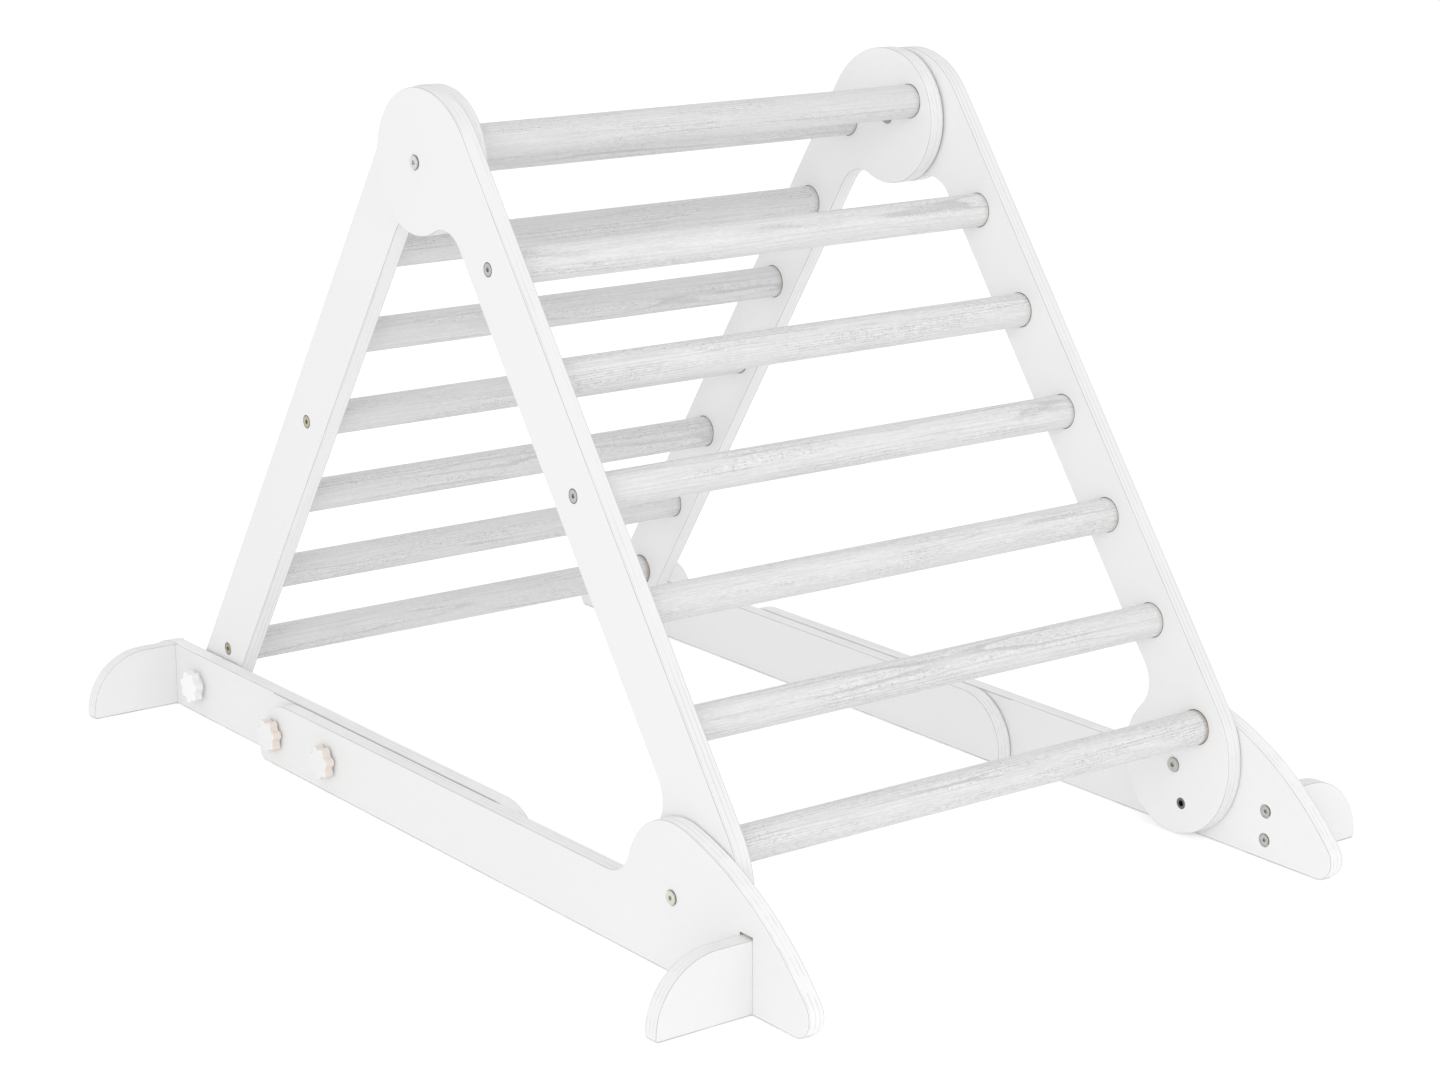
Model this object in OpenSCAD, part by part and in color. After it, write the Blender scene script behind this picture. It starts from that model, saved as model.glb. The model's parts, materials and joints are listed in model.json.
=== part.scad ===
// Folding climbing triangle for small children.
// Two plywood ladders hinge on each other at the top. The front ladder hinges at its
// foot on two base beams, and star knobs clamp the foot of the rear ladder to them.
// Axes: X runs along the rungs, Y from the front tips to the rear ends, Z up.
// The floor is Z = 0 and the origin is the middle of the footprint.

/* [Plates] */
// Thickness of all the plywood plates
ply = 18; // [16:1:21]
// Clear width between the rear rails
inner_w = 548; // [450:1:700]
// Space between the front and rear rails at the top pivots
hub_gap = 2; // [2:0.5:5]
// Running gap between the front rails and the base beams
beam_gap = 0.5; // [0.3:0.1:1]

/* [Ladders] */
// Slope of the front ladder in degrees
front_angle = 54; // [50:1:58]
// Distance between the top and the bottom pivot of the front ladder
pivot_span = 752; // [740:1:800]
// Radius of the round hub plates at the pivots
hub_r = 71; // [66:1:76]
// Height of the bottom hubs above the floor
hub_lift = 1.5; // [1:0.5:5]
// Width of a rail
rail_w = 70; // [64:1:78]
// Distance from the pivot axis to the line of the rungs
rung_offset = 51; // [46:1:58]
// Distance from the line of the rungs to the middle of the rail
rail_shift = 2; // [0:0.5:4]
// Radius of the long curve from a hub to the outer edge of its rail
shoulder_r = 95; // [90:1:110]
// Radius of the hollow between a hub and the edge beside it
neck_r = 35; // [25:1:45]

/* [Rungs] */
// Diameter of the round rungs
rung_d = 35; // [28:1:36]
// Distance between two rungs
rung_pitch = 117.5; // [100:0.5:119]
// Number of rungs of the front ladder
front_rungs = 6; // [4:1:6]
// Number of rungs on the rear rails, without the crown rung
rear_rungs = 7; // [6:1:7]
// Distance from the bottom pivot up to the lowest front rung
front_rung_u = 21; // [15:0.5:26]
// Distance from the top pivot down to the first rung on the rear rails
rear_rung_u = 45; // [40:1:52]
// Distance from the top pivot up to the crown rung, along the rear rail
crown_u = 36; // [32:1:38]
// Distance from the top pivot to the crown rung, across the rear rail
crown_v = 19; // [12:1:22]
// Depth of the blind rung sockets
socket_depth = 11; // [8:0.5:12]
// Clearance around a rung in its socket
socket_fit = 0.3; // [0.1:0.05:0.5]

/* [Base beams] */
// Height of the base beams
beam_h = 70; // [68:1:72]
// Distance from the bottom pivot to the front tip
nose_reach = 198.5; // [180:0.5:220]
// Radius of the rounded front tip
tip_r = 20; // [14:1:26]
// Radius of the long curve from the hub to the front tip
nose_r = 320; // [280:10:500]
// Length of the front beam behind the bottom pivot
front_beam_len = 759.5; // [700:0.5:780]
// Length of the rear beam in front of the ladder bolt
rear_beam_len = 667; // [620:1:680]
// Length of the rear beam behind the ladder bolt
tail_len = 127; // [110:0.5:150]
// Radius of the upper corner at the end of a beam
end_top_r = 60; // [40:1:62]
// Radius of the lower corner at the end of a beam
end_low_r = 10; // [4:0.5:14]
// Distance from the lowest rear rung to the ladder bolt
ladder_bolt_u = 58; // [54:1:75]
// Distance from the end of the front beam to its rear star knob
lap_knob_inset = 35; // [28:1:45]
// Distance between the two star knobs of the lap
lap_knob_pitch = 111.5; // [80:0.5:140]

/* [Side feet] */
// Reach of a side foot beyond its beam
foot_len = 103; // [80:1:125]
// Radius of the upper corner of a side foot
foot_top_r = 66; // [40:1:66]
// Radius of the lower corner of a side foot
foot_low_r = 3; // [2:0.5:4]
// Depth of the groove that a side foot stands in
foot_groove = 3; // [2:0.5:5]
// Height of the front groove above its foot
foot_groove_over = 2.5; // [1:0.5:4]
// Distance from the bottom pivot forward to the front face of the front foot
front_foot_y = 119.5; // [105:0.5:130]
// Distance from the ladder bolt back to the front face of the rear foot
rear_foot_y = 54.5; // [45:0.5:60]
// Height of the lower foot screw
foot_screw_low = 20; // [15:1:25]
// Height of the upper foot screw
foot_screw_high = 50; // [42:1:52]

/* [Fasteners] */
// Diameter of the flat screw heads
head_d = 14; // [12:0.5:15]
// Thickness of the flat screw heads
head_t = 3; // [2.5:0.1:3.2]
// Diameter of the screw shanks
shank_d = 6; // [5:0.5:7]
// Length of the screw shanks under the head
shank_len = 48; // [40:1:60]
// Width across the flats of the hexagon sockets
hex_af = 5; // [4:0.5:6]
// Depth of the hexagon sockets
hex_depth = 2; // [1.5:0.1:2.2]
// Diameter of the sleeve that a pivot turns on
sleeve_d = 10; // [9:0.5:12]
// Diameter of the heads of the pivot bolt and sleeve
pivot_head_d = 15; // [14:0.5:18]
// Thickness of the heads of the pivot bolt and sleeve
pivot_head_t = 3; // [2.6:0.1:3]
// Depth of the seats that the pivot heads are let into
pivot_seat = 1.5; // [1.5:0.1:2.5]
// Length of the pivot bolts under the head
pivot_bolt_len = 25; // [18:1:28]
// Outer diameter of the spacer washers between the ladders
washer_d = 26; // [20:1:40]
// Outer diameter of the threaded inserts
insert_d = 12; // [11:0.5:14]
// Length of the threaded inserts
insert_len = 12; // [9:0.5:13]
// Bore of the inserts in the bottom hubs
hub_insert_bore = 6; // [4:0.5:8]
// Distance from the bottom pivot to the insert in the bottom hub
hub_insert_r = 40; // [34:1:46]
// Direction of that insert from the pivot in degrees
hub_insert_angle = 252; // [230:1:270]

/* [Star knobs] */
// Diameter of the star knobs over the points
knob_d = 39; // [34:1:42]
// Number of points of a star knob
knob_points = 7; // [6:1:8]
// Radius of the rounded points
knob_tip_r = 5; // [4:0.5:5.5]
// Radius of the hollows between the points
knob_hollow_r = 4.5; // [3.5:0.5:8]
// Diameter of the collar under a star knob
knob_collar_d = 24; // [18:1:26]
// Height of the star knobs of the lap
lap_knob_h = 12; // [10:0.5:16]
// Height of the collar under the star knobs of the lap
lap_collar_h = 2.5; // [1.5:0.5:4]
// Height of the star knobs of the ladder
ladder_knob_h = 14.5; // [8:0.5:18]
// Height of the collar under the star knobs of the ladder
ladder_collar_h = 5; // [2:0.5:6]
// Thickness of a star knob over its stud
knob_cap = 2; // [1.5:0.5:3]
// Diameter of the threaded studs
stud_d = 8; // [6:0.5:9]

/* [Clearances] */
// Gap between a part and the face it seats on
seat_gap = 0.3; // [0.2:0.05:0.4]
// Radial clearance of a turning pin in its bore
run_fit = 0.06; // [0.03:0.01:0.1]
// Radial clearance of a fixed fastener in its hole
fix_fit = 0.05; // [0.02:0.01:0.1]

/* [Hidden] */
// Cuts run past a face by this much
over = 1;
// The rounded points and hollows of a star cross each other by this much
ease = 0.02;
// Largest angle between two points of a rounded outline as tight as a hub, or tighter
arc_step = 4;

// Faces of the plates on the right side, from the inside out
rear_rail_x = inner_w / 2;
rear_rail_face = rear_rail_x + ply;
front_rail_x = rear_rail_face + hub_gap;
front_rail_face = front_rail_x + ply;
beam_x = front_rail_face + beam_gap;
beam_face = beam_x + ply;

// Across a rail from the pivot: its middle, its two edges and the centre of its shoulder's curve
rail_v = rung_offset + rail_shift;
rail_in = rail_v - rail_w / 2;
rail_out = rail_v + rail_w / 2;
shoulder_v = rail_out - shoulder_r;
shoulder = [sqrt(pow(shoulder_r - hub_r, 2) - pow(shoulder_v, 2)), shoulder_v];

// The ladder bolt along the rear rail and as seen from the top pivot
bolt_u = rear_rung_u + (rear_rungs - 1) * rung_pitch + ladder_bolt_u;
bolt_reach = norm([bolt_u, rail_v]);

// Side view of the triangle: its angles and its corners as [y, z]
pivot_z = hub_r + hub_lift;
top_z = pivot_z + pivot_span * sin(front_angle);
beam_mid = beam_h / 2;
rear_angle = asin((top_z - beam_mid) / bolt_reach) + atan2(rail_v, bolt_u);
top_dy = pivot_span * cos(front_angle);
bolt_dy = top_dy + bolt_u * cos(rear_angle) + rail_v * sin(rear_angle);
base_len = nose_reach + bolt_dy + tail_len;
pivot_p = [nose_reach - base_len / 2, pivot_z];
top_p = [pivot_p[0] + top_dy, top_z];
bolt_p = [pivot_p[0] + bolt_dy, beam_mid];
hub_insert_p = pivot_p + hub_insert_r * [cos(hub_insert_angle), sin(hub_insert_angle)];

// Side view of the base: star knobs of the lap, screws of the feet
lap_rear_p = [pivot_p[0] + front_beam_len - lap_knob_inset, beam_mid];
lap_front_p = lap_rear_p - [lap_knob_pitch, 0];
front_foot_at = pivot_p[0] - front_foot_y;
rear_foot_at = bolt_p[0] + rear_foot_y;
foot_screw_z = [foot_screw_low, foot_screw_high];

// Rungs as [u, v]: along and across their rail, counted from the top
first_front_u = pivot_span - front_rung_u - (front_rungs - 1) * rung_pitch;
front_rung_at = [for (i = [0:front_rungs - 1]) [first_front_u + i * rung_pitch, rung_offset]];
crown_at = [-crown_u, -crown_v];
rear_rung_at = concat(
    [crown_at],
    [for (i = [0:rear_rungs - 1]) [rear_rung_u + i * rung_pitch, rung_offset]]
);

// Rungs that are screwed as well as glued, counted from the top
front_screwed = [0, 2, front_rungs - 1];
rear_screwed = [1, 4, rear_rungs];

SIDES = ["left", "right"];
SIDE_NODES = [
    "front_rail_", "rear_rail_", "base_front_", "base_rear_", "front_foot_", "rear_foot_",
    "foot_screws_", "top_pivot_bolt_", "top_pivot_sleeve_", "bottom_pivot_bolt_",
    "bottom_pivot_sleeve_", "lap_inserts_", "lap_knob_front_", "lap_stud_front_",
    "lap_knob_rear_", "lap_stud_rear_", "ladder_knob_", "ladder_stud_"
];

// ---------- placing ----------

// Side-view place of [u, v] on the front ladder
function on_front(at) = top_p
    + at[0] * [-cos(front_angle), -sin(front_angle)]
    + at[1] * [-sin(front_angle), cos(front_angle)];

// Side-view place of [u, v] on the rear ladder
function on_rear(at) = top_p
    + at[0] * [cos(rear_angle), -sin(rear_angle)]
    + at[1] * [sin(rear_angle), cos(rear_angle)];

// Side-view drawing raised to a plate whose inner face is at x
module plate(x) {
    translate([x, 0, 0]) rotate([90, 0, 90]) linear_extrude(height = ply) children();
}

// Something drawn along +Z, stood on the face at x: +Z points outwards or inwards
module outwards(p, x) {
    translate([x, p[0], p[1]]) rotate([0, 90, 0]) children();
}
module inwards(p, x) {
    translate([x, p[0], p[1]]) rotate([0, -90, 0]) children();
}

// The right-hand piece as drawn, or mirrored to the left
module on_side(side) {
    mirror([side == "left" ? 1 : 0, 0, 0]) children();
}
module on_both() {
    for (side = SIDES) on_side(side) children();
}

// Cylinder from z0 to z1; small ones need fewer facets
module rod(d, z0, z1) {
    translate([0, 0, z0]) cylinder(h = z1 - z0, d = d, $fn = d < 20 ? 32 : 64);
}

// ---------- fasteners, drawn with the head at Z = 0 and the shank along +Z ----------

module hex_socket(z0) {
    translate([0, 0, z0 - over]) cylinder(h = hex_depth + over, d = hex_af / cos(30), $fn = 6);
}

module flush_screw() {
    color("silver") difference() {
        union() {
            rod(head_d, 0, head_t);
            rod(shank_d, head_t / 2, head_t + shank_len);
        }
        hex_socket(0);
    }
}

// Space that a flush screw needs in the parts it joins
module screw_space() {
    rod(head_d + 2 * seat_gap, -over, head_t + seat_gap);
    rod(shank_d + 2 * fix_fit, 0, head_t + shank_len + seat_gap);
}

// A pivot head stands in its seat and rises a little above the face
pivot_head_in = pivot_seat - seat_gap;
pivot_head_out = pivot_head_in - pivot_head_t;

module pivot_bolt() {
    color("goldenrod") difference() {
        union() {
            rod(pivot_head_d, pivot_head_out, pivot_head_in);
            rod(shank_d, pivot_head_out + hex_depth, pivot_head_in + pivot_bolt_len);
        }
        hex_socket(pivot_head_out);
    }
}

// Sleeve nut through plates that are depth thick together
module pivot_sleeve(depth) {
    end = depth - pivot_seat - seat_gap;
    bore_end = depth - pivot_head_in - pivot_bolt_len - seat_gap;
    color("silver") difference() {
        union() {
            rod(pivot_head_d, pivot_head_out, pivot_head_in);
            rod(sleeve_d, pivot_head_out + hex_depth, end);
        }
        hex_socket(pivot_head_out);
        rod(shank_d + 2 * fix_fit, bore_end, end + over);
    }
}

// Seat of a pivot head in a face, and the bore of the sleeve below it
module pivot_space() {
    rod(pivot_head_d + 2 * seat_gap, -over, pivot_seat);
    rod(sleeve_d + 2 * run_fit, 0, ply + over);
}

module insert(bore) {
    color("dimgray") difference() {
        rod(insert_d, 0, insert_len);
        rod(bore + 2 * run_fit, -over, insert_len + over);
    }
}

module insert_space() {
    rod(insert_d + 2 * fix_fit, -over, insert_len + seat_gap);
}

// ---------- star knobs, drawn on a face at Z = 0 with the knob above it ----------

module star_outline() {
    step = 360 / knob_points;
    tip_at = knob_d / 2 - knob_tip_r;
    half_gap = tip_at * sin(step / 2);
    hollow_at = tip_at * cos(step / 2) + sqrt(pow(knob_tip_r + knob_hollow_r, 2) - pow(half_gap, 2));
    difference() {
        polygon([
            for (i = [0:knob_points - 1], k = [0, 1])
                (k == 0 ? tip_at : hollow_at) * [cos((i + k / 2) * step), sin((i + k / 2) * step)]
        ]);
        for (i = [0:knob_points - 1]) rotate((i + 0.5) * step)
            translate([hollow_at, 0]) circle(knob_hollow_r + ease, $fn = 32);
    }
    for (i = [0:knob_points - 1]) rotate(i * step)
        translate([tip_at, 0]) circle(knob_tip_r + ease, $fn = 32);
}

module star_knob(height, collar) {
    color("ivory") difference() {
        union() {
            rod(knob_collar_d, seat_gap, collar + seat_gap);
            translate([0, 0, collar]) linear_extrude(height = height - collar) star_outline();
        }
        rod(stud_d + 2 * fix_fit, -over, height - knob_cap);
    }
}

// Stud that reaches depth below the face, moulded into a knob of that height
module knob_stud(height, depth) {
    color("silver") rod(stud_d, -depth, height - knob_cap - seat_gap);
}

// ---------- outlines of the plates ----------

// Points on a circle from angle a0 to a1, both included
function arc(centre, r, a0, a1) =
    let (steps = ceil(abs(a1 - a0) / arc_step * max(1, sqrt(r / hub_r))))
    [for (i = [0:steps]) centre + r * [cos(a0 + (a1 - a0) * i / steps), sin(a0 + (a1 - a0) * i / steps)]];

// Middle of the hollow of a neck beside a hub at the origin, above an edge at v
function neck_centre(v) = [sqrt(pow(hub_r + neck_r, 2) - pow(v - neck_r, 2)), v - neck_r];

// Head of a rail with its hub at the origin, from the inner edge round to the outer edge
function rail_head() =
    let (
        hollow = neck_centre(rail_in),
        neck_turn = atan2(hollow[1], hollow[0]),
        shoulder_turn = atan2(-shoulder[1], -shoulder[0])
    )
    concat(
        arc(hollow, neck_r, 90, 180 + neck_turn),
        arc([0, 0], hub_r, neck_turn, shoulder_turn - 360),
        arc(shoulder, shoulder_r, shoulder_turn, 90)
    );

module front_rail_outline() {
    head = rail_head();
    far = len(head) - 1;
    polygon(concat(head, [for (i = [0:far]) [pivot_span - head[far - i][0], head[far - i][1]]]));
}

module rear_rail_outline() {
    polygon(concat(rail_head(), arc([bolt_u, rail_v], rail_w / 2, 90, -90)));
}

// Rounded end of a strip of beam height at y = len, from its top edge round to its bottom edge
function strip_end(len, top, top_r, low_r) =
    let (low = min(low_r, beam_h - top_r))
    concat(
        arc([len - top_r, top - top_r], top_r, 90, 0),
        arc([len - low, top - beam_h + low], low, 0, -90)
    );

// Front beam with the bottom pivot at the origin: front tip, long curve, hub, neck, rear end
module base_front_outline() {
    tip = [tip_r - nose_reach, tip_r - pivot_z];
    to_hub = nose_r - hub_r;
    to_tip = nose_r - tip_r;
    bend = acos((pow(to_hub, 2) + pow(norm(tip), 2) - pow(to_tip, 2)) / (2 * to_hub * norm(tip)));
    turn = atan2(tip[1], tip[0]) + bend;
    centre = to_hub * [cos(turn), sin(turn)];
    tip_turn = atan2(tip[1] - centre[1], tip[0] - centre[0]);
    hub_turn = turn + 180;
    hollow = neck_centre(pivot_z - beam_h);
    neck_turn = atan2(-hollow[1], hollow[0]);
    polygon(concat(
        arc(tip, tip_r, 270, tip_turn),
        arc(centre, nose_r, tip_turn, hub_turn),
        arc([0, 0], hub_r, hub_turn, neck_turn),
        arc([hollow[0], -hollow[1]], neck_r, 180 + neck_turn, 270),
        strip_end(front_beam_len, beam_h - pivot_z, end_top_r, end_low_r)
    ));
}

// Rear beam with the ladder bolt at y = 0
module base_rear_outline() {
    front = strip_end(rear_beam_len, beam_h, end_top_r, end_low_r);
    far = len(front) - 1;
    polygon(concat(
        strip_end(tail_len, beam_h, end_top_r, end_low_r),
        [for (i = [0:far]) [-front[far - i][0], front[far - i][1]]]
    ));
}

// ---------- plates ----------

module front_rail() {
    color("whitesmoke") difference() {
        plate(front_rail_x) translate(top_p) rotate(180 + front_angle) mirror([0, 1]) front_rail_outline();
        for (at = front_rung_at)
            outwards(on_front(at), front_rail_x) rod(rung_d + 2 * socket_fit, -over, socket_depth);
        for (i = front_screwed) inwards(on_front(front_rung_at[i]), front_rail_face) screw_space();
        inwards(top_p, front_rail_face) pivot_space();
        outwards(pivot_p, front_rail_x) pivot_space();
        outwards(hub_insert_p, front_rail_x) insert_space();
    }
}

module rear_rail() {
    color("whitesmoke") difference() {
        plate(rear_rail_x) translate(top_p) rotate(-rear_angle) rear_rail_outline();
        for (at = rear_rung_at)
            outwards(on_rear(at), rear_rail_x) rod(rung_d + 2 * socket_fit, -over, socket_depth);
        for (i = rear_screwed) inwards(on_rear(rear_rung_at[i]), rear_rail_face) screw_space();
        outwards(top_p, rear_rail_x) pivot_space();
        inwards(bolt_p, rear_rail_face) insert_space();
    }
}

module base_front() {
    color("whitesmoke") difference() {
        plate(beam_x) translate(pivot_p) base_front_outline();
        inwards(pivot_p, beam_face) pivot_space();
        for (p = [lap_rear_p, lap_front_p])
            outwards(p, beam_x) rod(stud_d + 2 * run_fit, -over, ply + over);
        for (z = foot_screw_z) outwards([front_foot_at + ply / 2, z], beam_x) screw_space();
        translate([beam_face - foot_groove, front_foot_at - seat_gap, -over])
            cube([foot_groove + over, ply + 2 * seat_gap, beam_h + foot_groove_over + over]);
    }
}

module base_rear() {
    color("whitesmoke") difference() {
        plate(front_rail_x) translate([bolt_p[0], 0]) base_rear_outline();
        outwards(bolt_p, front_rail_x) rod(stud_d + 2 * run_fit, -over, ply + over);
        for (p = [lap_rear_p, lap_front_p]) inwards(p, front_rail_face) insert_space();
        for (z = foot_screw_z) outwards([rear_foot_at + ply / 2, z], front_rail_x) screw_space();
        translate([front_rail_face - foot_groove, rear_foot_at - seat_gap, -over])
            cube([foot_groove + over, ply + 2 * seat_gap, beam_h + 2 * over]);
    }
}

// Side foot whose front face is at y, on the beam face at x
module side_foot(y, x) {
    color("whitesmoke") difference() {
        translate([x - foot_groove + seat_gap, y + ply, 0]) rotate([90, 0, 0])
            linear_extrude(height = ply) polygon(concat(
                [[0, beam_h]],
                strip_end(foot_len + foot_groove - seat_gap, beam_h, foot_top_r, foot_low_r),
                [[0, 0]]
            ));
        for (z = foot_screw_z) outwards([y + ply / 2, z], x - ply) screw_space();
    }
}

module foot_screws() {
    for (z = foot_screw_z) {
        outwards([front_foot_at + ply / 2, z], beam_x) flush_screw();
        outwards([rear_foot_at + ply / 2, z], front_rail_x) flush_screw();
    }
}

// ---------- rungs ----------

// Rung through the side-view point p between the sockets of two rails at x
module rung(p, x, screwed) {
    half = x + socket_depth - seat_gap;
    color("linen") difference() {
        outwards(p, 0) rod(rung_d, -half, half);
        if (screwed) on_both() inwards(p, x + ply) screw_space();
    }
}

module rung_screws(points, x) {
    on_both() for (p = points) inwards(p, x + ply) flush_screw();
}

// ---------- pivots and clamps ----------

module top_pivot_sleeve() {
    outwards(top_p, rear_rail_x) pivot_sleeve(front_rail_face - rear_rail_x);
}

module bottom_pivot_sleeve() {
    outwards(pivot_p, front_rail_x) pivot_sleeve(beam_face - front_rail_x);
}

module top_washers() {
    on_both() color("dimgray") outwards(top_p, rear_rail_face) difference() {
        rod(washer_d, seat_gap, hub_gap - seat_gap);
        rod(sleeve_d + 2 * fix_fit, 0, hub_gap);
    }
}

module lap_stud(p) {
    outwards(p, beam_face) knob_stud(lap_knob_h, beam_face - front_rail_face + insert_len);
}

module ladder_stud() {
    outwards(bolt_p, front_rail_face) knob_stud(ladder_knob_h, ply + hub_gap - seat_gap);
}

// ---------- assembly ----------

for (side = SIDES) {
    on_side(side) front_rail();
    on_side(side) rear_rail();
    on_side(side) base_front();
    on_side(side) base_rear();
    on_side(side) side_foot(front_foot_at, beam_face);
    on_side(side) side_foot(rear_foot_at, front_rail_face);
    on_side(side) foot_screws();
    on_side(side) inwards(top_p, front_rail_face) pivot_bolt();
    on_side(side) top_pivot_sleeve();
    on_side(side) inwards(pivot_p, beam_face) pivot_bolt();
    on_side(side) bottom_pivot_sleeve();
    on_side(side) for (p = [lap_rear_p, lap_front_p]) inwards(p, front_rail_face) insert(stud_d);
    on_side(side) outwards(lap_front_p, beam_face) star_knob(lap_knob_h, lap_collar_h);
    on_side(side) lap_stud(lap_front_p);
    on_side(side) outwards(lap_rear_p, beam_face) star_knob(lap_knob_h, lap_collar_h);
    on_side(side) lap_stud(lap_rear_p);
    on_side(side) outwards(bolt_p, front_rail_face) star_knob(ladder_knob_h, ladder_collar_h);
    on_side(side) ladder_stud();
}

for (i = [0:front_rungs - 1])
    rung(on_front(front_rung_at[i]), front_rail_x, len(search(i, front_screwed)) > 0);

for (i = [0:rear_rungs])
    rung(on_rear(rear_rung_at[i]), rear_rail_x, len(search(i, rear_screwed)) > 0);

top_washers();
on_both() outwards(hub_insert_p, front_rail_x) insert(hub_insert_bore);  // hub_inserts
on_both() inwards(bolt_p, rear_rail_face) insert(stud_d);  // ladder_inserts
rung_screws([for (i = front_screwed) on_front(front_rung_at[i])], front_rail_x);  // front_rung_screws
rung_screws([for (i = rear_screwed) on_rear(rear_rung_at[i])], rear_rail_x);  // rear_rung_screws
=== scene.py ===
"""Folding climbing triangle: white plywood ladders and base beams, beech rungs, star knobs.

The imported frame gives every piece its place. This script rounds the edges of the plates,
dresses all pieces in their finishes and stands the triangle on a pale studio floor.
Lengths are in metres. X runs along the rungs, Y from the front tips to the rear ends.
Greys and colours are linear.
"""

import contextlib
import json
import logging
import math
from dataclasses import dataclass, field
from enum import Enum
from typing import Any, Callable, Iterable, Iterator, Sequence, TypeVar

import bmesh
import bpy
from mathutils import Matrix, Vector

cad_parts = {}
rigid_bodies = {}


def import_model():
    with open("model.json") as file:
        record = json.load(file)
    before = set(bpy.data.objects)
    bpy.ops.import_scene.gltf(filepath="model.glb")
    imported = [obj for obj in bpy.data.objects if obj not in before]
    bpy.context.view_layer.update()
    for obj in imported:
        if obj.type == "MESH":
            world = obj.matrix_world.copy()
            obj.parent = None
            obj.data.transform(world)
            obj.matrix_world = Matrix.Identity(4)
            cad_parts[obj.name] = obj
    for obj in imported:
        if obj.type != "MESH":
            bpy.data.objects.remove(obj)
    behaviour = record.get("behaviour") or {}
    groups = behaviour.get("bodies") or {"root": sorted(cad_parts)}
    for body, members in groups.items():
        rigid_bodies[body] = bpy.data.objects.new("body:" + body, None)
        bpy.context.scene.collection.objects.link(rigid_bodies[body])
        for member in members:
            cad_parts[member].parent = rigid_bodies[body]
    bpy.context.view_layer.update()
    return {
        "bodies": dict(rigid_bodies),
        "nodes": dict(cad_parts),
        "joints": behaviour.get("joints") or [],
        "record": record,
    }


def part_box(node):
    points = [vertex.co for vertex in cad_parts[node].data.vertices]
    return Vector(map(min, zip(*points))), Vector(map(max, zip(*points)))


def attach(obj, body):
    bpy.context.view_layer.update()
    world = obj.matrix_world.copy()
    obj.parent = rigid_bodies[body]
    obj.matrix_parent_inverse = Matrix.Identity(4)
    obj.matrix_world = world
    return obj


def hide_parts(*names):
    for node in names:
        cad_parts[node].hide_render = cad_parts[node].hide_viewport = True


LOG = logging.getLogger("climbing_triangle")
MM = 0.001
ACROSS = 0.99  # a face lies across an axis if its normal has more than this along it

Pair = tuple[float, float]
Triple = tuple[float, float, float]
Colour = tuple[float, float, float, float]
Item = TypeVar("Item")
Socket = bpy.types.NodeSocket
Piece = bpy.types.Object
Edge = bmesh.types.BMEdge
Mesh = bmesh.types.BMesh


class Axis(Enum):
    """The axis that the layers of a plate are stacked along."""

    X = 0
    Y = 1


class EdgeKind(Enum):
    """What an edge of a plate is, as its mesh is marked with it."""

    OTHER = 0
    BORE = 1
    OUTLINE = 2


class Side(Enum):
    """The two sides of the triangle, as the frame names them."""

    LEFT = "left"
    RIGHT = "right"

    @property
    def sign(self) -> int:
        """-1 on the left and 1 on the right."""
        return -1 if self is Side.LEFT else 1

    @property
    def white(self) -> float:
        """How white its lacquer is drawn, set per side by how bright the photograph shows it: the far, right
        side is drawn lighter, as painted light against the shade that the near side and the rungs cast on it.
        """
        return 0.836 if self is Side.LEFT else 0.872

    @property
    def gap_grey(self) -> float:
        """How light the painted shade in the gap between its two beams is, set per side by the photograph
        too.
        """
        return 0.14 if self is Side.LEFT else 0.45


# ---------- shader sums ----------


class Value:
    """A number that a node puts out, so that sums of values read as Python."""

    def __init__(self, nodes: "Nodes", socket: Socket) -> None:
        """Wraps an output socket of a node tree that holds a number."""
        self.nodes = nodes
        self.socket = socket

    def _math(self, operation: str, *terms: "Value | float") -> "Value":
        """Adds a Math node whose inputs are the terms in order."""
        node = self.nodes.add("ShaderNodeMath", dict(enumerate(terms)), operation=operation)
        return Value(self.nodes, node.outputs[0])

    def __add__(self, other: "Value | float") -> "Value":
        """Sum."""
        return self._math("ADD", self, other)

    def __sub__(self, other: "Value | float") -> "Value":
        """Difference."""
        return self._math("SUBTRACT", self, other)

    def __rsub__(self, other: "Value | float") -> "Value":
        """Difference from a number."""
        return self._math("SUBTRACT", other, self)

    def __mul__(self, other: "Value | float") -> "Value":
        """Product."""
        return self._math("MULTIPLY", self, other)

    def __truediv__(self, other: "Value | float") -> "Value":
        """Quotient."""
        return self._math("DIVIDE", self, other)

    def __pow__(self, other: "Value | float") -> "Value":
        """Power."""
        return self._math("POWER", self, other)

    def __abs__(self) -> "Value":
        """Size without the sign."""
        return self._math("ABSOLUTE", self)

    def fraction(self) -> "Value":
        """The part after the decimal point."""
        return self._math("FRACT", self)

    def at_least(self, other: "Value | float") -> "Value":
        """The larger of the two."""
        return self._math("MAXIMUM", self, other)

    def at_most(self, other: "Value | float") -> "Value":
        """The smaller of the two."""
        return self._math("MINIMUM", self, other)

    def rise(self, start: float, end: float) -> "Value":
        """Smooth step of the value.

        Args:
            start: Where the step is still 0.
            end: Where it has reached 1.

        Returns:
            The step, from 0 to 1.
        """
        low, high, first, last = (start, end, 0.0, 1.0) if start < end else (end, start, 1.0, 0.0)
        node = self.nodes.add(
            "ShaderNodeMapRange",
            {"Value": self, "From Min": low, "From Max": high, "To Min": first, "To Max": last},
            interpolation_type="SMOOTHSTEP",
        )
        return Value(self.nodes, node.outputs[0])

    def spread(self, low: float, high: float) -> "Value":
        """The value, stretched from the range 0 to 1 to the range low to high."""
        return self * (high - low) + low


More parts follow.
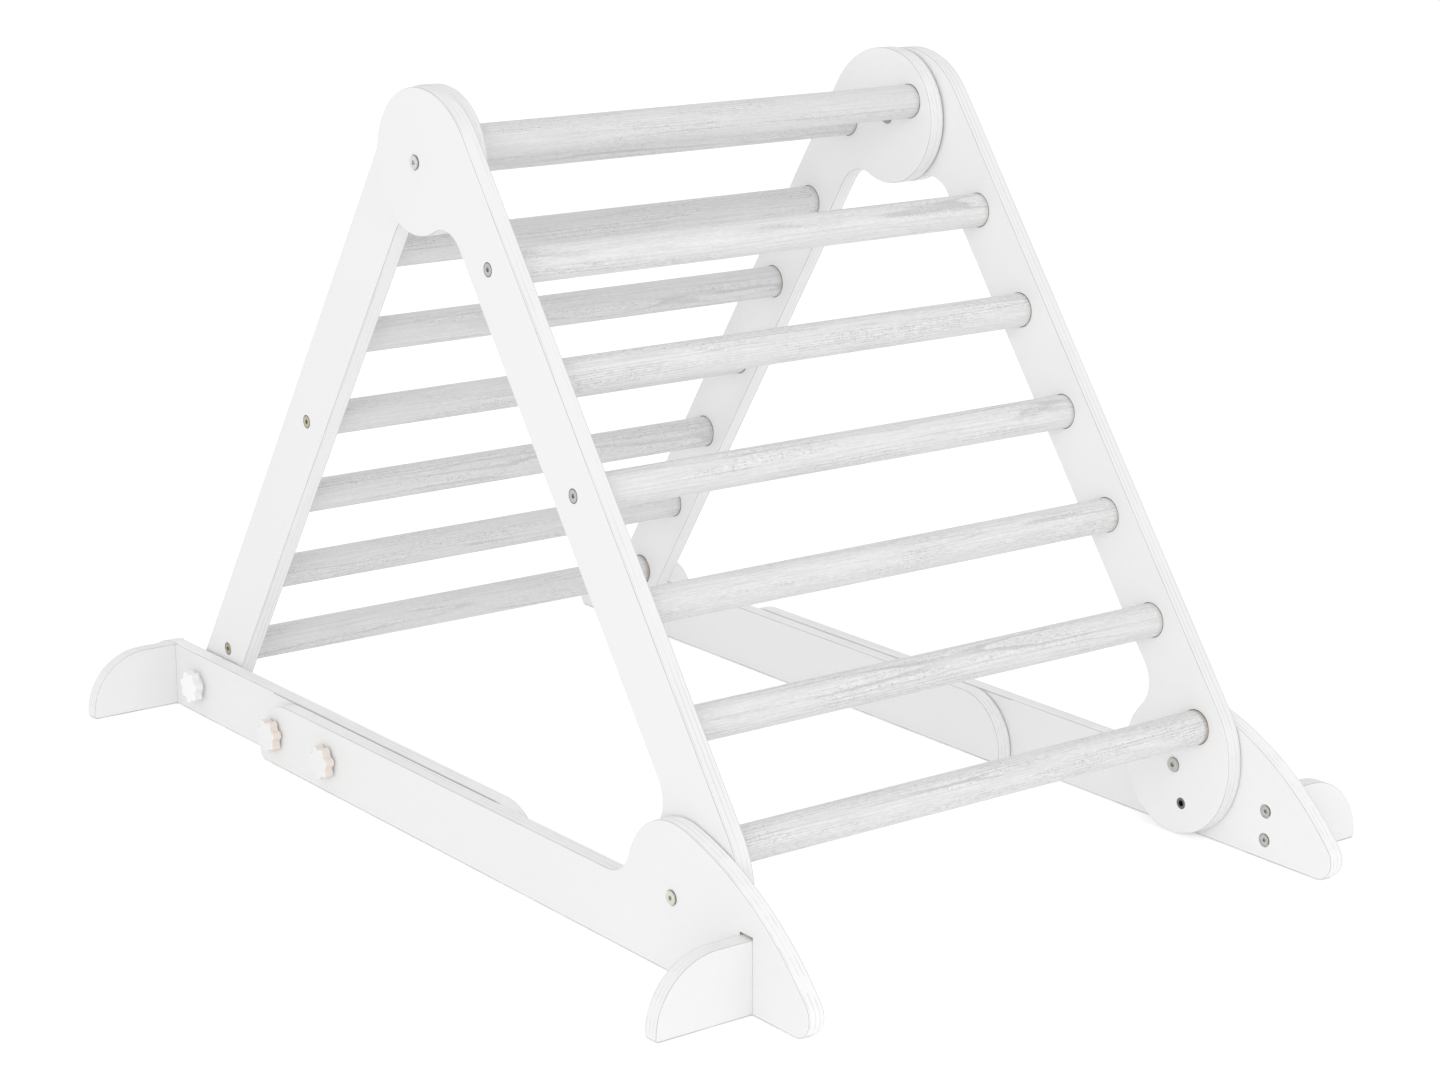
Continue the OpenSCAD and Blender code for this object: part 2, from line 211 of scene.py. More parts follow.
class Nodes:
    """A node tree that is filled by calls."""

    def __init__(self, tree: bpy.types.NodeTree) -> None:
        """Empties the tree that is to be filled."""
        tree.nodes.clear()
        self.tree = tree

    def add(self, kind: str, inputs: dict[int | str, Any] | None = None, **settings: Any) -> bpy.types.Node:
        """Adds a node, sets it up and then feeds it.

        Args:
            kind: The node's type.
            inputs: What goes into its sockets, by name or number: a value, a socket or a constant.
            settings: Its settings, such as operation.

        Returns:
            The node.
        """
        node = self.tree.nodes.new(kind)
        for name, value in settings.items():
            setattr(node, name, value)
        for key, value in (inputs or {}).items():
            self.feed(node.inputs[key], value)
        return node

    def feed(self, socket: Socket, value: Any) -> None:
        """Links or sets one input.

        Args:
            socket: The input.
            value: A value, an output socket or a constant.
        """
        if isinstance(value, Value):
            value = value.socket
        if isinstance(value, Socket):
            self.tree.links.new(value, socket)
        else:
            socket.default_value = value

    def place(self) -> Socket:
        """The point of the surface in the object's own frame."""
        return self.add("ShaderNodeTexCoord").outputs["Object"]

    def facing(self) -> Socket:
        """The direction that the surface faces in the object's own frame."""
        return self.add("ShaderNodeTexCoord").outputs["Normal"]

    def split(self, vector: Socket) -> tuple[Value, Value, Value]:
        """The three parts of a vector."""
        node = self.add("ShaderNodeSeparateXYZ", {0: vector})
        return tuple(Value(self, node.outputs[i]) for i in range(3))

    def mapped(self, scale: Triple | float, turn_x: float = 0.0, shift: Triple = (0.0, 0.0, 0.0)) -> Socket:
        """Object coordinates that are turned about X, scaled and then shifted.

        Args:
            scale: How many units of the pattern go into a metre, along each axis or along all.
            turn_x: Angle about X in radians.
            shift: What is added in the end.

        Returns:
            The vector's socket.
        """
        scale = (scale, scale, scale) if isinstance(scale, float) else scale
        turned = self.add("ShaderNodeMapping", {"Vector": self.place(), "Rotation": (turn_x, 0.0, 0.0)})
        placed = {"Vector": turned.outputs[0], "Scale": scale, "Location": shift}
        return self.add("ShaderNodeMapping", placed).outputs[0]

    def noise(self, vector: Socket, detail: float = 2.0, roughness: float = 0.5, bend: float = 0.0) -> Value:
        """Soft noise around 0.5.

        Args:
            vector: Where it is read; one unit is about one blotch.
            detail: How many finer layers it has.
            roughness: How strong these are.
            bend: How far it is distorted.

        Returns:
            The noise.
        """
        look = {"Detail": detail, "Roughness": roughness, "Distortion": bend}
        node = self.add("ShaderNodeTexNoise", {"Vector": vector, "Scale": 1.0, **look})
        return Value(self, node.outputs[0])

    def cells(self, vector: Socket) -> tuple[Value, Value]:
        """Scattered cells: the distance to a cell's point, and a random number of the cell."""
        node = self.add("ShaderNodeTexVoronoi", {"Vector": vector, "Scale": 1.0}, feature="F1")
        return Value(self, node.outputs["Distance"]), self.split(node.outputs["Color"])[0]

    def blend(self, share: Value | float, first: Any, second: Any) -> Socket:
        """Mix of two colours: the first one at share 0, the second one at 1."""
        node = self.add("ShaderNodeMix", {0: share, 6: first, 7: second}, data_type="RGBA", clamp_factor=True)
        return node.outputs[2]

    def bump(self, height: Value, depth: float) -> Socket:
        """Relief of the surface, on which a height of 1 stands for a depth in metres."""
        return self.add("ShaderNodeBump", {"Height": height, "Distance": depth, "Strength": 1.0}).outputs[0]

    def surface(self, **inputs: Any) -> None:
        """Ends the tree in a surface; _ stands for a space in the names of its inputs."""
        named = {name.replace("_", " "): value for name, value in inputs.items()}
        shader = self.add("ShaderNodeBsdfPrincipled", named)
        self.add("ShaderNodeOutputMaterial", {0: shader.outputs[0]})


def grey(level: float, warm: float = 0.0) -> Colour:
    """A grey that may lean to yellow.

    Args:
        level: Its brightness.
        warm: How much less blue than red it has, as a share.

    Returns:
        The colour.
    """
    return (level, level * (1 - 0.4 * warm), level * (1 - warm), 1.0)


def tint(colour: Triple, share: float = 1.0) -> Colour:
    """A colour of which only a share is left."""
    return (*(share * part for part in colour), 1.0)


# ---------- finishes ----------


@dataclass(frozen=True)
class Finish:
    """A finish: its name and the nodes that draw it."""

    name: str

    def material(self) -> bpy.types.Material:
        """The finish as a material, made once."""
        found = bpy.data.materials.get(self.name)
        if found is None:
            found = bpy.data.materials.new(self.name)
            found.use_nodes = True
            self.draw(Nodes(found.node_tree))
        return found

    def draw(self, nodes: Nodes) -> None:
        """Fills the tree.

        Args:
            nodes: The material's empty tree.
        """
        raise NotImplementedError


@dataclass(frozen=True)
class LacqueredPlywood(Finish):
    """White lacquer on plywood: calm faces, and edges that show the layers through it."""

    layer_axis: Axis
    layer_start: float
    thickness: float
    seed: float
    white: float
    slope: float = 0.0
    edge_white: float = 0.868
    scuffed_below: float = 0.0
    gap_depth: float = 0.0
    gap_span: Pair | None = None
    gap_grey: float = 0.14

    LAYERS = 7
    # greys, and how strong the marks are
    MOTTLE = 0.012
    LINE = grey(0.60, 0.01)
    JOINT_SHARE = 0.45
    THIRST_SHARE = 0.26
    WORN = grey(0.52, 0.01)
    SCUFF = grey(0.34, 0.02)
    KNOCK = (0.42, 0.36, 0.30, 1.0)
    KNOCK_SHARE = 0.75
    # how many waves of a pattern go into a metre, and how far the layers wander, in layers
    STREAKS = (60.0, 7.0, 90.0)
    BLOTCHES = 9.0
    WANDER = 25.0
    WANDER_REACH = 0.12
    KNOCKS = 22.0
    # where a mark sets in and where it is in full: by how far the surface faces along the layers
    FACE_TURN = (0.80, 0.97)
    WORN_TURN = (0.99, 0.96)
    GAP_TURN = (0.985, 0.95)
    # by the distance to the middle of a line
    JOINT = (0.40, 0.49)
    WORN_LINE = (0.48 * MM, 0.22 * MM)
    GAP_LINE = (0.38 * MM, 0.16 * MM)
    # by the pattern itself
    THIRSTY_SHEET = (0.42, 0.58)
    THIRSTY_STREAK = (0.35, 0.65)
    PATCH = (0.38, 0.62)
    KNOCK_SIZE = (0.055, 0.02)
    KNOCK_PICK = (0.86, 0.87)
    # lengths of the marks and of the relief
    WORN_DEPTH = 0.80 * MM
    GAP_FADE = 2 * MM
    RELIEF = 0.06 * MM

    def draw(self, nodes: Nodes) -> None:
        """Fills the tree.

        Args:
            nodes: The material's empty tree.
        """
        place = nodes.split(nodes.place())
        across = place[self.layer_axis.value]
        depth = (abs(across) if self.layer_axis is Axis.X else across) - self.layer_start
        facing = abs(nodes.split(nodes.facing())[self.layer_axis.value])
        edge = 1 - facing.rise(*self.FACE_TURN)

        streaks = nodes.noise(nodes.mapped(self.STREAKS, self.slope, (self.seed, 0.0, 0.0)), 4.0, 0.6)
        blotches = nodes.noise(nodes.mapped(self.BLOTCHES, shift=(self.seed, 3.1, 0.0)))
        wander = nodes.noise(nodes.mapped(self.WANDER, shift=(0.0, self.seed, 0.0)))
        patchy = wander.rise(*self.PATCH).spread(0.4, 1.0)

        # layers: alternate sheets drink the lacquer, and each glue joint is a fine line
        place_in = depth / (self.thickness / self.LAYERS) + (wander - 0.5) * self.WANDER_REACH
        sheet = abs((place_in * 0.5).fraction() - 0.5) * 2
        joint = abs(place_in.fraction() - 0.5).rise(*self.JOINT)
        thirst = sheet.rise(*self.THIRSTY_SHEET) * streaks.rise(*self.THIRSTY_STREAK)
        lines = (joint * patchy * self.JOINT_SHARE + thirst * self.THIRST_SHARE).at_most(1.0) * edge
        mottle = (blotches - 0.5) * 0.8 + (streaks - 0.5) * 0.5 + 0.5
        base = nodes.blend(mottle, grey(self.white - self.MOTTLE), grey(self.white + self.MOTTLE))
        base = nodes.blend(edge, base, grey(self.edge_white))
        base = nodes.blend(lines, base, self.LINE)

        # the corners between the edge and the two faces are worn
        rim = self.thickness / 2 - abs(depth - self.thickness / 2)
        worn = abs(rim - self.WORN_DEPTH).rise(*self.WORN_LINE) * patchy.spread(0.65, 1.0)
        base = nodes.blend(worn * facing.rise(*self.WORN_TURN), base, self.WORN)

        # the edge that stands on the floor is scuffed
        if self.scuffed_below:
            scuffs = place[2].rise(self.scuffed_below, self.scuffed_below * 0.4) * patchy.spread(0.2, 0.8)
            base = nodes.blend(scuffs, base, self.SCUFF)

        # the gap to a plate that lies alongside swallows the light
        if self.gap_span:
            start, end = self.gap_span
            along = place[1].rise(start, start + self.GAP_FADE) * place[1].rise(end, end - self.GAP_FADE)
            gap = abs(depth - self.gap_depth).rise(*self.GAP_LINE) * along
            base = nodes.blend(gap * facing.rise(*self.GAP_TURN), base, grey(self.gap_grey, 0.1))

        # a few tiny knocks where the lacquer came off the edges
        near, pick = nodes.cells(nodes.mapped(self.KNOCKS, 0.4, (self.seed, 0.0, self.seed)))
        knocks = near.rise(*self.KNOCK_SIZE) * pick.rise(*self.KNOCK_PICK) * edge
        base = nodes.blend(knocks * self.KNOCK_SHARE, base, self.KNOCK)

        relief = streaks * 0.5 - joint * edge * 0.5 - knocks * 1.2
        nodes.surface(
            Base_Color=base,
            Roughness=streaks.spread(0.44, 0.56),
            Specular_IOR_Level=0.35,
            Normal=nodes.bump(relief, self.RELIEF),
        )


@dataclass(frozen=True)
class LacqueredBeech(Finish):
    """Thin white lacquer on a turned beech rung: grain along the rung, rings, small flecks, and a brown stain
    with painted shade towards the sockets.
    """

    middle: Pair
    seed: float
    socket: float
    stain_and_shade: float
    pale: float

    # greys, and how strong the marks are
    DARK = grey(0.59)
    FLECK = grey(0.38, 0.03)
    FLECK_SHARE = 0.75
    LATE_SHARE = 0.80
    STAIN_AND_SHADE = (0.42, 0.37, 0.33, 1.0)
    # the tree's rings: where the pith is from the rung's middle, their width, and how far they sway
    PITH_DISTANCE = 24 * MM
    PITH_TURN = 2.4
    RING_PITCH = 2.4 * MM
    RING_SWAY = 9 * MM
    # how many waves of a pattern go into a metre
    SWAY = (3.2, 30.0, 30.0)
    STREAKS = (14.0, 420.0, 420.0)
    FIBRES = (150.0, 620.0, 620.0)
    CLOUD = (6.0, 60.0, 60.0)
    FLECKS = (200.0, 700.0, 700.0)
    # where a mark sets in and where it is in full, by the pattern itself
    LATE_START = (0.62, 0.95)
    LATE_END = (1.0, 0.96)
    FLECK_SIZE = (0.36, 0.14)
    FLECK_PICK = (0.58, 0.63)
    PATCH = (0.46, 0.60)
    # by the distance to the socket, and how deep the relief is
    STAIN_AND_SHADE_REACH = (7.0 * MM, 1.0 * MM)
    RELIEF = 0.08 * MM

    def draw(self, nodes: Nodes) -> None:
        """Fills the tree.

        Args:
            nodes: The material's empty tree.
        """
        x, y, z = nodes.split(nodes.place())
        turn = self.seed * self.PITH_TURN
        pith_y = self.middle[0] + self.PITH_DISTANCE * math.cos(turn)
        pith_z = self.middle[1] + self.PITH_DISTANCE * math.sin(turn)
        sway = nodes.noise(nodes.mapped(self.SWAY, shift=(self.seed, 0.0, 0.0)))
        reach = ((y - pith_y) ** 2.0 + (z - pith_z) ** 2.0) ** 0.5
        rings = ((reach + sway * self.RING_SWAY) / self.RING_PITCH).fraction()
        late = rings.rise(*self.LATE_START) * rings.rise(*self.LATE_END)

        streaks = nodes.noise(nodes.mapped(self.STREAKS, shift=(self.seed, 1.7, 0.0)), 4.0, 0.7)
        fibres = nodes.noise(nodes.mapped(self.FIBRES, shift=(self.seed, 0.0, 2.3)), 3.0, 0.6, 0.4)
        cloud = nodes.noise(nodes.mapped(self.CLOUD, shift=(0.0, self.seed, 0.0)), 3.0)
        speck, pick = nodes.cells(nodes.mapped(self.FLECKS, shift=(self.seed, 0.0, 5.0)))
        flecks = speck.rise(*self.FLECK_SIZE) * pick.rise(*self.FLECK_PICK)
        patches = cloud.rise(*self.PATCH)

        # the lacquer hides the grain in some places more than in others
        grain = (streaks - 0.5) * 1.2 + (fibres - 0.5) * patches.spread(0.9, 2.2)
        tone = grain + late * self.LATE_SHARE * patches.spread(0.3, 1.0) + (cloud - 0.5) * 0.25 + 0.32
        base = nodes.blend(tone, grey(self.pale), self.DARK)
        base = nodes.blend(flecks * patches * self.FLECK_SHARE, base, self.FLECK)
        # stain and painted shade: the rung darkens and browns towards its socket, partly bare wood and partly
        # painted contact shade
        start, full = (self.socket - away for away in self.STAIN_AND_SHADE_REACH)
        base = nodes.blend(abs(x).rise(start, full) * fibres.spread(0.5, 1.3) * self.stain_and_shade, base, self.STAIN_AND_SHADE)
        relief = streaks * 0.6 - flecks * 0.5 - late * 0.25
        nodes.surface(
            Base_Color=base,
            Roughness=streaks.spread(0.36, 0.52),
            Specular_IOR_Level=0.32,
            Normal=nodes.bump(relief, self.RELIEF),
        )


@dataclass(frozen=True)
class BareWood(Finish):
    """Wood that the lacquer didn't reach, and glue pressed out of a joint; drawn dark, it is also the painted
    shadow in the rung sockets.
    """

    tone: Triple = (0.44, 0.30, 0.19)
    lacquer_and_shade_grey: float = 0.74

    PATCHES = 55.0
    PATCH = (0.44, 0.62)
    PORES = 700.0
    RELIEF = 0.08 * MM

    def draw(self, nodes: Nodes) -> None:
        """Fills the tree.

        Args:
            nodes: The material's empty tree.
        """
        patches = nodes.noise(nodes.mapped(self.PATCHES))
        fine = nodes.noise(nodes.mapped(self.PORES), 3.0)
        bare = nodes.blend(fine, tint(self.tone), tint(self.tone, 0.55))
        # patches of lacquer grey; in the sockets this grey is dark, as painted shadow
        base = nodes.blend(patches.rise(*self.PATCH), bare, grey(self.lacquer_and_shade_grey, 0.12))
        relief = nodes.bump(fine, self.RELIEF)
        nodes.surface(Base_Color=base, Roughness=fine.spread(0.45, 0.75), Normal=relief)


@dataclass(frozen=True)
class Plated(Finish):
    """Plated steel with fine machining marks and dull spots."""

    colour: Triple
    roughness: float

    SPOTS = 260.0
    MARKS = (300.0, 2600.0, 2600.0)
    RELIEF = 0.02 * MM

    def draw(self, nodes: Nodes) -> None:
        """Fills the tree.

        Args:
            nodes: The material's empty tree.
        """
        dull = nodes.noise(nodes.mapped(self.SPOTS), 3.0, 0.6)
        marks = nodes.noise(nodes.mapped(self.MARKS))
        nodes.surface(
            Base_Color=nodes.blend(dull, tint(self.colour), tint(self.colour, 0.72)),
            Metallic=1.0,
            Roughness=dull.spread(self.roughness - 0.1, self.roughness + 0.15),
            Normal=nodes.bump(marks, self.RELIEF),
        )


@dataclass(frozen=True)
class MouldedPlastic(Finish):
    """Moulded plastic with the soft grain of its mould, and sides drawn darker than its face as painted
    shade.
    """

    colour: Triple
    shaded_side_colour: Triple

    GRAIN = 1400.0
    CLOUD = 90.0
    SHADED_SIDE_TURN = (0.97, 0.70)
    RELIEF = 0.03 * MM

    def draw(self, nodes: Nodes) -> None:
        """Fills the tree.

        Args:
            nodes: The material's empty tree.
        """
        grain = nodes.noise(nodes.mapped(self.GRAIN))
        cloud = nodes.noise(nodes.mapped(self.CLOUD))
        # painted shade: surfaces that turn away from X take the darker side colour
        side = abs(nodes.split(nodes.facing())[0]).rise(*self.SHADED_SIDE_TURN)
        base = nodes.blend(cloud, tint(self.colour), tint(self.colour, 0.97))
        nodes.surface(
            Base_Color=nodes.blend(side, base, tint(self.shaded_side_colour)),
            Roughness=grain.spread(0.30, 0.50),
            Subsurface_Weight=0.08,
            Subsurface_Radius=(0.004, 0.003, 0.002),
            Subsurface_Scale=0.5,
            Normal=nodes.bump(grain, self.RELIEF),
        )


# ---------- bench work ----------


def islands(items: Iterable[Item], beside: Callable[[Item], Iterable[Item]]) -> Iterator[set[Item]]:
    """Splits items into groups that hang together.

    Args:
        items: What is split.
        beside: Gives the neighbours of an item.

    Yields:
        One group after the other.
    """
    waiting = set(items)
    while waiting:
        group, todo = set(), [waiting.pop()]
        while todo:
            item = todo.pop()
            group.add(item)
            fresh = waiting.intersection(beside(item))
            waiting -= fresh
            todo.extend(fresh)
        yield group


def on_rim(edge: Edge) -> bool:
    """Whether an edge lies between a flat end across X and a wall."""
    flats = [abs(face.normal.x) > ACROSS for face in edge.link_faces]
    return flats[0] != flats[1]


@dataclass
class Bench:
    """What every piece needs: copies of nodes, rounded edges, smooth faces and a body to ride on."""

    frame: dict[str, Any]
    owner: dict[str, str] = field(default_factory=dict)
    merge_distance: float = 0.002 * MM
    flat_angle: float = math.radians(0.25)

    def __post_init__(self) -> None:
        """Notes which body each node belongs to."""
        for body, members in self.frame["record"]["behaviour"]["bodies"].items():
            self.owner.update({node: body for node in members})

    @staticmethod
    def alone(piece: Piece) -> None:
        """Makes a piece the only one that operators act on."""
        bpy.ops.object.select_all(action="DESELECT")
        bpy.context.view_layer.objects.active = piece
        piece.select_set(True)

    @contextlib.contextmanager
    def editing(self, piece: Piece) -> Iterator[Mesh]:
        """Edit mode on one piece, with nothing selected and edges as what is picked.

        Args:
            piece: The piece to edit.

        Yields:
            Its mesh in edit mode.
        """
        self.alone(piece)
        bpy.context.tool_settings.mesh_select_mode = (False, True, False)
        bpy.ops.object.mode_set(mode="EDIT")
        bpy.ops.mesh.select_all(action="DESELECT")
        try:
            yield bmesh.from_edit_mesh(piece.data)
        finally:
            bpy.ops.object.mode_set(mode="OBJECT")

    def copy_of(self, node: str, name: str) -> Piece:
        """A merged copy of a node's mesh, with its flat faces whole.

        Args:
            node: The node to copy.
            name: The new piece's name.

        Returns:
            The piece, at the origin.
        """
        piece = bpy.data.objects.new(name, self.frame["nodes"][node].data.copy())
        bpy.context.scene.collection.objects.link(piece)
        piece.data.name = name
        piece.data.materials.clear()
        with self.editing(piece):
            bpy.ops.mesh.select_all(action="SELECT")
            bpy.ops.mesh.customdata_custom_splitnormals_clear()
            bpy.ops.mesh.remove_doubles(threshold=self.merge_distance)
            bpy.ops.mesh.dissolve_limited(angle_limit=self.flat_angle)
        return piece

    def round_edges(
        self, piece: Piece, pick: Callable[[Edge], bool], radius: float, segments: int = 2
    ) -> None:
        """Rounds the edges that are picked.

        Args:
            piece: The piece to work on.
            pick: Says whether an edge is one of them.
            radius: Radius of the rounding.
            segments: Faces across it.
        """
        with self.editing(piece) as mesh:
            for edge in mesh.edges:
                edge.select_set(len(edge.link_faces) == 2 and pick(edge))
            bmesh.update_edit_mesh(piece.data)
            if any(edge.select for edge in mesh.edges):
                bpy.ops.mesh.bevel(
                    offset_type="OFFSET", offset=radius, segments=segments, profile=0.5, affect="EDGES",
                    clamp_overlap=False,
                )

    def weigh_faces(self, piece: Piece, axis: int) -> None:
        """Lets the flats across an axis lead the shading, then the walls along it, roundings last.

        Args:
            piece: The piece to mark.
            axis: The axis that the flats lie across.
        """
        for strength, low, high in (("WEAK", 0.05, ACROSS), ("STRONG", ACROSS, 1.01)):
            with self.editing(piece) as mesh:
                bpy.context.tool_settings.mesh_select_mode = (False, False, True)
                for face in mesh.faces:
                    face.select_set(low < abs(face.normal[axis]) <= high)
                bmesh.update_edit_mesh(piece.data)
                bpy.ops.mesh.mod_weighted_strength(set=True, face_strength=strength)

    def smooth(self, piece: Piece, angle: float = 50.0, weighed: bool = False) -> None:
        """Smooth shading that keeps flat faces flat.

        Args:
            piece: The piece to shade.
            angle: Edges sharper than this, in degrees, stay sharp.
            weighed: Whether its faces were weighed.
        """
        self.alone(piece)
        bpy.ops.object.shade_smooth_by_angle(angle=math.radians(angle), keep_sharp_edges=False)
        bpy.ops.object.modifier_add(type="WEIGHTED_NORMAL")
        weighted = piece.modifiers[-1]
        weighted.keep_sharp = True
        weighted.use_face_influence = weighed
        weighted.weight = 100
        bpy.ops.object.modifier_apply(modifier=weighted.name)

    def mount(self, piece: Piece, finish: Finish, slot: str, *nodes: str, body: str = "") -> None:
        """Dresses a piece, sets it on its body and hides the nodes that it stands for.

        Args:
            piece: The finished piece.
            finish: Its main finish.
            slot: The record's material slot; not used.
            nodes: The nodes that it stands for.
            body: The body that it rides on, where it stands for no node.
        """
        if piece.data.materials:
            piece.data.materials[0] = finish.material()
        else:
            piece.data.materials.append(finish.material())
        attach(piece, body or self.owner[nodes[0]])
        if nodes:
            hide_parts(*nodes)
        LOG.info("%s: %d faces on %s", piece.name, len(piece.data.polygons), body or self.owner[nodes[0]])

    def dress(self, node: str, finish: Finish) -> None:
        """Gives a node that stays a finish of its own."""
        shown = self.frame["nodes"][node]
        shown.data.materials.clear()
        shown.data.materials.append(finish.material())
        LOG.info("%s: stays, in %s", node, finish.name)


@dataclass
class Plate:
    """One plywood plate: a copy of its node with rounded edges."""

    bench: Bench
    node: str
    axis: Axis
    faces: Pair
    finish: LacqueredPlywood
    groove: Pair | None = None
    edge_radius: float = 1.3 * MM
    edge_segments: int = 3
    tolerance: float = 0.05 * MM
    hole_span: float = 42 * MM
    groove_top: float = 90 * MM
    groove_border: float = 0.4 * MM
    bare_border: float = 0.35 * MM
    bare_depths: Pair = (0.5 * MM, 3.1 * MM)
    bare_end: float = 60 * MM

    def build(self) -> None:
        """Makes the plate."""
        piece = self.bench.copy_of(self.node, f"{self.node}_plate")
        with self.bench.editing(piece) as mesh:
            rim = self._rim_walls(mesh)
            marks = mesh.edges.layers.int.new("rim")
            for edge in mesh.edges:
                edge[marks] = self._kind(edge, rim).value
            bmesh.update_edit_mesh(piece.data)
        self._open_faces(piece)
        self._cap_outlines(piece)
        self.bench.round_edges(
            piece, lambda edge: self._outlines(piece, edge), self.edge_radius, self.edge_segments
        )
        self._open_faces(piece)
        self._close_faces(piece)
        if self.groove:
            self._bare_groove(piece)
        self.bench.weigh_faces(piece, self.axis.value)
        self.bench.smooth(piece, weighed=True)
        self.bench.mount(piece, self.finish, "white_plywood", self.node)

    def _rim_walls(self, mesh: Mesh) -> set[int]:
        """Finds the walls of the outer rim, which span more than those of a bore.

        Args:
            mesh: The plate's mesh.

        Returns:
            The numbers of their faces.
        """
        walls = [face for face in mesh.faces if abs(face.normal[self.axis.value]) < 0.5]
        others = [i for i in range(3) if i != self.axis.value]
        rim: set[int] = set()
        for group in islands(walls, lambda face: [f for e in face.edges for f in e.link_faces]):
            points = [vert.co for face in group for vert in face.verts]
            spans = [max(p[i] for p in points) - min(p[i] for p in points) for i in others]
            if max(spans) > self.hole_span:
                rim |= {face.index for face in group}
        return rim

    def _kind(self, edge: Edge, rim: set[int]) -> EdgeKind:
        """Tells what an edge is.

        Args:
            edge: The edge.
            rim: The numbers of the outer rim's walls.

        Returns:
            Its kind.
        """
        if len(edge.link_faces) != 2 or not self._on_plane([v.co for v in edge.verts]):
            return EdgeKind.OTHER
        flats = [self._on_plane([v.co for v in face.verts]) for face in edge.link_faces]
        grooved = self.groove is not None and all(self._in_groove(v.co) for v in edge.verts)
        if flats[0] == flats[1] or grooved:
            return EdgeKind.OTHER
        wall = edge.link_faces[0] if flats[1] else edge.link_faces[1]
        return EdgeKind.OUTLINE if wall.index in rim else EdgeKind.BORE

    def _in_groove(self, point: Vector) -> bool:
        """Whether a point lies in the groove for a foot or at its border."""
        low, high = self.groove
        return low - self.groove_border < point.y < high + self.groove_border and point.z < self.groove_top

    def _depth(self, point: Vector) -> float:
        """How far along the layers a point lies: for a side plate, from the triangle's middle."""
        place = point[self.axis.value]
        return abs(place) if self.axis is Axis.X else place

    def _on_face(self, points: Sequence[Vector], face: float) -> bool:
        """Whether all the points lie on one face of the plate."""
        return all(abs(self._depth(point) - face) < self.tolerance for point in points)

    def _on_plane(self, points: Sequence[Vector]) -> bool:
        """Whether all the points lie on one of the two faces of the plate."""
        return any(self._on_face(points, face) for face in self.faces)

    def _open_faces(self, piece: Piece) -> None:
        """Takes the two flat faces off the plate."""
        with self.bench.editing(piece) as mesh:
            for face in mesh.faces:
                if self._on_plane([v.co for v in face.verts]):
                    face.select_set(True)
            bmesh.update_edit_mesh(piece.data)
            bpy.ops.mesh.delete(type="FACE")

    def _cap_outlines(self, piece: Piece) -> None:
        """Spans one whole face over each open outline, bores left aside.

        Args:
            piece: The plate.
        """
        with self.bench.editing(piece) as mesh:
            marks = mesh.edges.layers.int["rim"]
            free = (e for e in mesh.edges if len(e.link_faces) == 1 and e[marks] != EdgeKind.BORE.value)
            todo = dict.fromkeys(free)
            while todo:
                loop = list(todo.popitem()[0].verts)
                while loop[-1] is not loop[0]:
                    step = next(e for e in loop[-1].link_edges if e in todo)
                    del todo[step]
                    loop.append(step.other_vert(loop[-1]))
                mesh.faces.new(loop[:-1])
            bmesh.ops.recalc_face_normals(mesh, faces=mesh.faces)
            bmesh.update_edit_mesh(piece.data)

    def _close_faces(self, piece: Piece) -> None:
        """Fills both faces of the plate again, with their bores left open.

        Args:
            piece: The plate.
        """
        for face in self.faces:
            with self.bench.editing(piece) as mesh:
                for edge in mesh.edges:
                    if len(edge.link_faces) == 1 and self._on_face([v.co for v in edge.verts], face):
                        edge.select_set(True)
                bmesh.update_edit_mesh(piece.data)
                bpy.ops.mesh.fill(use_beauty=False)
        with self.bench.editing(piece):
            bpy.ops.mesh.select_all(action="SELECT")
            bpy.ops.mesh.normals_make_consistent(inside=False)

    @staticmethod
    def _outlines(piece: Piece, edge: Edge) -> bool:
        """Whether an edge is marked as a part of the plate's outline."""
        mesh = bmesh.from_edit_mesh(piece.data)
        return edge[mesh.edges.layers.int["rim"]] == EdgeKind.OUTLINE.value

    def _bare_groove(self, piece: Piece) -> None:
        """Leaves the groove for the foot without lacquer.

        Args:
            piece: The plate.
        """
        piece.data.materials.append(self.finish.material())
        piece.data.materials.append(BareWood("bare_wood").material())
        low, high = self.groove
        shallow, deep = self.bare_depths
        for face in piece.data.polygons:
            middle = face.center
            within = low - self.bare_border < middle.y < high + self.bare_border
            sunk = shallow < max(self.faces) - abs(middle.x) < deep
            wall = abs(face.normal.z) < 0.5 or middle.z > self.bare_end
            if within and sunk and wall and middle.z < self.groove_top:
                face.material_index = 1


# ---------- sub-assemblies ----------


